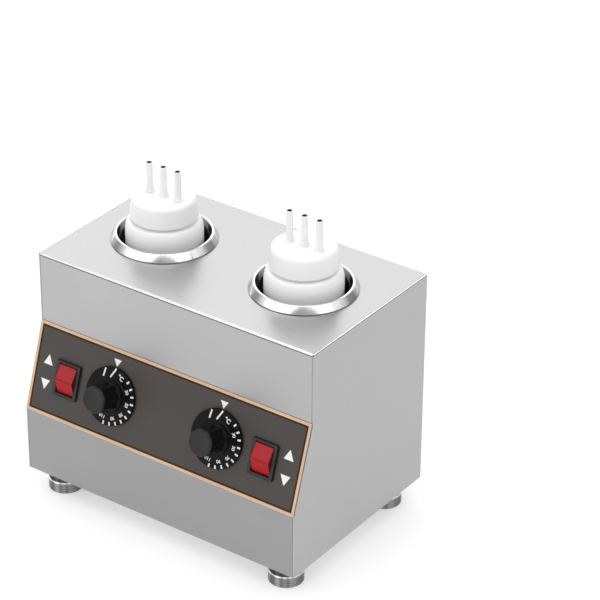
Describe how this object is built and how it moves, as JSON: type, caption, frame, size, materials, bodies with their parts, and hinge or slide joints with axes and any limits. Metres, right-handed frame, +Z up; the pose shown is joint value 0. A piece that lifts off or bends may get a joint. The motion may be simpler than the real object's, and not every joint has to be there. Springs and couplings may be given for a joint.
{
  "type": "sauce bottle warmer",
  "caption": "Countertop warmer: a steel box on feet with round heated wells in its top, squeeze bottles with spouted caps, and a sloped panel of knobs and rocker switches.",
  "frame": {"origin": "centre of the bounding box in plan, on the surface that the feet stand on", "axes": "+Z up, -Y out of the front with the control panel, +X to the right seen from the front"},
  "size_m": [0.284, 0.2184, 0.2905],
  "materials": {
    "steel": "fine satin stainless steel",
    "polished_steel": "polished stainless steel",
    "zinc_steel": "zinc plated",
    "foot_metal": "turned and plated",
    "printed_panel": "printed film, satin",
    "black_plastic": "satin moulded",
    "red_plastic": "glossy moulded",
    "bottle_plastic": "soft satin moulded",
    "silicone": "matt",
    "heater_band": "metal-sheathed mica",
    "insulation": "mineral wool",
    "copper": "drawn",
    "cream_plastic": "moulded",
    "wire_insulation": "satin"
  },
  "bodies": {
    "housing": {"front_top_panel": "steel", "side_panel_left": "steel", "side_panel_right": "steel", "rear_panel": "steel", "base_plate": "steel", "control_panel": "printed_panel", "well_left": "polished_steel", "well_right": "polished_steel", "well_collar_left": "polished_steel", "well_collar_right": "polished_steel", "heater_band_left": "heater_band", "heater_band_right": "heater_band", "insulation_left": "insulation", "insulation_right": "insulation", "thermostat_left": "zinc_steel", "thermostat_right": "zinc_steel", "capillary_left": "copper", "capillary_right": "copper", "thermal_cutout_left": "cream_plastic", "thermal_cutout_right": "cream_plastic", "terminal_block": "cream_plastic", "earth_stud": "zinc_steel", "switch_left": "black_plastic", "switch_right": "black_plastic", "cable_gland": "black_plastic", "gland_nut": "black_plastic", "foot_front_left": "foot_metal", "foot_front_right": "foot_metal", "foot_rear_left": "foot_metal", "foot_rear_right": "foot_metal", "foot_bolt_front_left": "zinc_steel", "foot_bolt_front_right": "zinc_steel", "foot_bolt_rear_left": "zinc_steel", "foot_bolt_rear_right": "zinc_steel", "foot_nut_front_left": "zinc_steel", "foot_nut_front_right": "zinc_steel", "foot_nut_rear_left": "zinc_steel", "foot_nut_rear_right": "zinc_steel", "rear_screw_high_left": "zinc_steel", "rear_screw_high_right": "zinc_steel", "rear_screw_low_left": "zinc_steel", "rear_screw_low_right": "zinc_steel", "wire_switch_left": "wire_insulation", "wire_switch_right": "wire_insulation", "wire_heater_left": "wire_insulation", "wire_heater_right": "wire_insulation"},
    "dial_left": {"knob_left": "black_plastic", "thermostat_shaft_left": "zinc_steel"},
    "dial_right": {"knob_right": "black_plastic", "thermostat_shaft_right": "zinc_steel"},
    "button_left": {"rocker_left": "red_plastic"},
    "button_right": {"rocker_right": "red_plastic"},
    "flask_left": {"bottle_left": "bottle_plastic"},
    "flask_right": {"bottle_right": "bottle_plastic"},
    "seal_left": {"cap_seal_left": "silicone"},
    "seal_right": {"cap_seal_right": "silicone"},
    "cap_left": {"bottle_cap_left": "bottle_plastic"},
    "cap_right": {"bottle_cap_right": "bottle_plastic"}
  },
  "joints": [
    {"name": "knob_turn_left", "type": "hinge", "parent": "housing", "child": "dial_left", "pos_m": [-0.056, -0.07942, 0.11905], "axis": [0, -0.9488, 0.3159], "range_deg": [0, 184]},
    {"name": "knob_turn_right", "type": "hinge", "parent": "housing", "child": "dial_right", "pos_m": [0.056, -0.07942, 0.11905], "axis": [0, -0.9488, 0.3159], "range_deg": [0, 184]},
    {"name": "rocker_tilt_left", "type": "hinge", "parent": "housing", "child": "button_left", "pos_m": [-0.1034, -0.07708, 0.11658], "axis": [-1, 0, 0], "range_deg": [0, 10]},
    {"name": "rocker_tilt_right", "type": "hinge", "parent": "housing", "child": "button_right", "pos_m": [0.1034, -0.07708, 0.11658], "axis": [-1, 0, 0], "range_deg": [0, 10]},
    {"name": "bottle_lift_left", "type": "slide", "parent": "housing", "child": "flask_left", "axis": [0, 0, 1], "range_m": [0, 0.18]},
    {"name": "bottle_lift_right", "type": "slide", "parent": "housing", "child": "flask_right", "axis": [0, 0, 1], "range_m": [0, 0.18]},
    {"name": "cap_rise_left", "type": "slide", "parent": "flask_left", "child": "seal_left", "axis": [0, 0, 1], "range_m": [0, 0.0061]},
    {"name": "cap_rise_right", "type": "slide", "parent": "flask_right", "child": "seal_right", "axis": [0, 0, 1], "range_m": [0, 0.0061]},
    {"name": "cap_turn_left", "type": "hinge", "parent": "seal_left", "child": "cap_left", "pos_m": [-0.0728, 0.01668, 0.245], "axis": [0, 0, 1], "range_deg": [0, 540]},
    {"name": "cap_turn_right", "type": "hinge", "parent": "seal_right", "child": "cap_right", "pos_m": [0.0728, 0.01668, 0.245], "axis": [0, 0, 1], "range_deg": [0, 540]}
  ],
  "couplings": [
    {"joint": "cap_rise_left", "follows": "cap_turn_left", "m_per_rad": 0.00063662},
    {"joint": "cap_rise_right", "follows": "cap_turn_right", "m_per_rad": 0.00063662}
  ]
}
